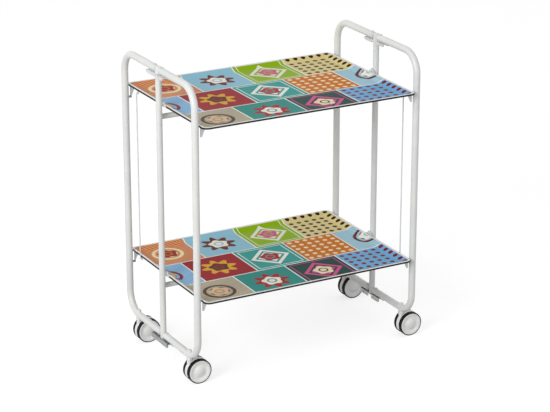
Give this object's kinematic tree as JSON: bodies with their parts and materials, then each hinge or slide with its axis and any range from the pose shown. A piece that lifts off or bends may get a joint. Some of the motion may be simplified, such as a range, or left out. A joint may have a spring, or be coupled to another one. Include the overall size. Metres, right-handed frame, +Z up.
{
  "type": "folding serving cart",
  "caption": "Folding serving cart: printed trays that tilt together on a white tube frame with hinged leaves and swivelling twin-wheel casters.",
  "frame": {"origin": "middle of the footprint on the floor, with all casters trailing towards +X", "axes": "+X along the cart to the right, +Y to the back, +Z up"},
  "size_m": [0.6974, 0.442, 0.7999],
  "materials": {
    "frame_paint": "white powder coat, smooth, semi-gloss",
    "bracket_paint": "thin white powder coat over pressed sheet, pins and rods",
    "steel": "zinc-plated lower brackets, stems and axles",
    "plug_plastic": "white moulded plastic",
    "hood_plastic": "white moulded plastic, glossy",
    "wheel_plastic": "pale grey-white moulded plastic",
    "tyre_rubber": "thin black rubber tread",
    "tray_print": "printed and lacquered steel sheet, glossy"
  },
  "bodies": {
    "frame": {"left_post": "frame_paint", "right_post": "frame_paint", "upper_rail": "frame_paint", "lower_rail": "frame_paint", "left_top_bracket": "bracket_paint", "right_top_bracket": "bracket_paint", "left_bottom_bracket": "steel", "right_bottom_bracket": "steel", "leaf_hinge_pins": "bracket_paint", "post_caps": "plug_plastic", "tray_pivot_pins": "bracket_paint"},
    "front_left_leaf_body": {"front_left_leaf": "frame_paint", "front_left_plugs": "bracket_paint", "front_left_socket": "plug_plastic"},
    "back_left_leaf_body": {"back_left_leaf": "frame_paint", "back_left_plugs": "bracket_paint", "back_left_socket": "plug_plastic", "back_left_rests": "steel"},
    "front_right_leaf_body": {"front_right_leaf": "frame_paint", "front_right_plugs": "bracket_paint", "front_right_socket": "plug_plastic"},
    "back_right_leaf_body": {"back_right_leaf": "frame_paint", "back_right_plugs": "bracket_paint", "back_right_socket": "plug_plastic", "back_right_rests": "steel"},
    "front_left_caster": {"front_left_stem": "steel", "front_left_hood": "hood_plastic"},
    "front_left_wheel_set": {"front_left_axle": "steel", "front_left_wheels": "wheel_plastic", "front_left_tyres": "tyre_rubber"},
    "back_left_caster": {"back_left_stem": "steel", "back_left_hood": "hood_plastic"},
    "back_left_wheel_set": {"back_left_axle": "steel", "back_left_wheels": "wheel_plastic", "back_left_tyres": "tyre_rubber"},
    "front_right_caster": {"front_right_stem": "steel", "front_right_hood": "hood_plastic"},
    "front_right_wheel_set": {"front_right_axle": "steel", "front_right_wheels": "wheel_plastic", "front_right_tyres": "tyre_rubber"},
    "back_right_caster": {"back_right_stem": "steel", "back_right_hood": "hood_plastic"},
    "back_right_wheel_set": {"back_right_axle": "steel", "back_right_wheels": "wheel_plastic", "back_right_tyres": "tyre_rubber"},
    "upper_tray_body": {"upper_tray": "tray_print", "upper_tray_ears": "bracket_paint", "upper_tray_gussets": "bracket_paint", "upper_rod_lugs": "bracket_paint"},
    "lower_tray_body": {"lower_tray": "tray_print", "lower_tray_ears": "bracket_paint", "lower_tray_gussets": "bracket_paint", "lower_rod_lugs": "bracket_paint"},
    "left_rod_body": {"left_link_rod": "bracket_paint"},
    "right_rod_body": {"right_link_rod": "bracket_paint"}
  },
  "joints": [
    {"name": "front_left_leaf_hinge", "type": "hinge", "parent": "frame", "child": "front_left_leaf_body", "pos_m": [-0.3364, -0.02, 0.079], "axis": [0, 0, -1], "range_deg": [0, 70]},
    {"name": "back_left_leaf_hinge", "type": "hinge", "parent": "frame", "child": "back_left_leaf_body", "pos_m": [-0.3364, 0.02, 0.079], "axis": [0, 0, 1], "range_deg": [0, 70]},
    {"name": "front_right_leaf_hinge", "type": "hinge", "parent": "frame", "child": "front_right_leaf_body", "pos_m": [0.2936, -0.02, 0.079], "axis": [0, 0, 1], "range_deg": [0, 70]},
    {"name": "back_right_leaf_hinge", "type": "hinge", "parent": "frame", "child": "back_right_leaf_body", "pos_m": [0.2936, 0.02, 0.079], "axis": [0, 0, -1], "range_deg": [0, 70]},
    {"name": "front_left_caster_swivel", "type": "hinge", "parent": "front_left_leaf_body", "child": "front_left_caster", "pos_m": [-0.3364, -0.148, 0.079], "axis": [0, 0, 1], "continuous": true},
    {"name": "front_left_wheel_spin", "type": "hinge", "parent": "front_left_caster", "child": "front_left_wheel_set", "pos_m": [-0.3144, -0.148, 0.0325], "axis": [0, 1, 0], "continuous": true},
    {"name": "back_left_caster_swivel", "type": "hinge", "parent": "back_left_leaf_body", "child": "back_left_caster", "pos_m": [-0.3364, 0.148, 0.079], "axis": [0, 0, 1], "continuous": true},
    {"name": "back_left_wheel_spin", "type": "hinge", "parent": "back_left_caster", "child": "back_left_wheel_set", "pos_m": [-0.3144, 0.148, 0.0325], "axis": [0, 1, 0], "continuous": true},
    {"name": "front_right_caster_swivel", "type": "hinge", "parent": "front_right_leaf_body", "child": "front_right_caster", "pos_m": [0.2936, -0.148, 0.079], "axis": [0, 0, 1], "continuous": true},
    {"name": "front_right_wheel_spin", "type": "hinge", "parent": "front_right_caster", "child": "front_right_wheel_set", "pos_m": [0.3156, -0.148, 0.0325], "axis": [0, 1, 0], "continuous": true},
    {"name": "back_right_caster_swivel", "type": "hinge", "parent": "back_right_leaf_body", "child": "back_right_caster", "pos_m": [0.2936, 0.148, 0.079], "axis": [0, 0, 1], "continuous": true},
    {"name": "back_right_wheel_spin", "type": "hinge", "parent": "back_right_caster", "child": "back_right_wheel_set", "pos_m": [0.3156, 0.148, 0.0325], "axis": [0, 1, 0], "continuous": true},
    {"name": "upper_tray_tilt", "type": "hinge", "parent": "frame", "child": "upper_tray_body", "pos_m": [-0.0214, 0, 0.6995], "axis": [1, 0, 0], "range_deg": [0, 78]},
    {"name": "lower_tray_tilt", "type": "hinge", "parent": "frame", "child": "lower_tray_body", "pos_m": [-0.0214, 0, 0.2455], "axis": [1, 0, 0], "range_deg": [0, 78]},
    {"name": "left_rod_turn", "type": "hinge", "parent": "upper_tray_body", "child": "left_rod_body", "pos_m": [-0.3254, 0.154, 0.686], "axis": [1, 0, 0], "range_deg": [-78, 0]},
    {"name": "right_rod_turn", "type": "hinge", "parent": "upper_tray_body", "child": "right_rod_body", "pos_m": [0.2826, -0.154, 0.686], "axis": [1, 0, 0], "range_deg": [-78, 0]}
  ],
  "couplings": [
    {"joint": "lower_tray_tilt", "follows": "upper_tray_tilt", "ratio": 1},
    {"joint": "left_rod_turn", "follows": "upper_tray_tilt", "ratio": -1},
    {"joint": "right_rod_turn", "follows": "upper_tray_tilt", "ratio": -1}
  ]
}
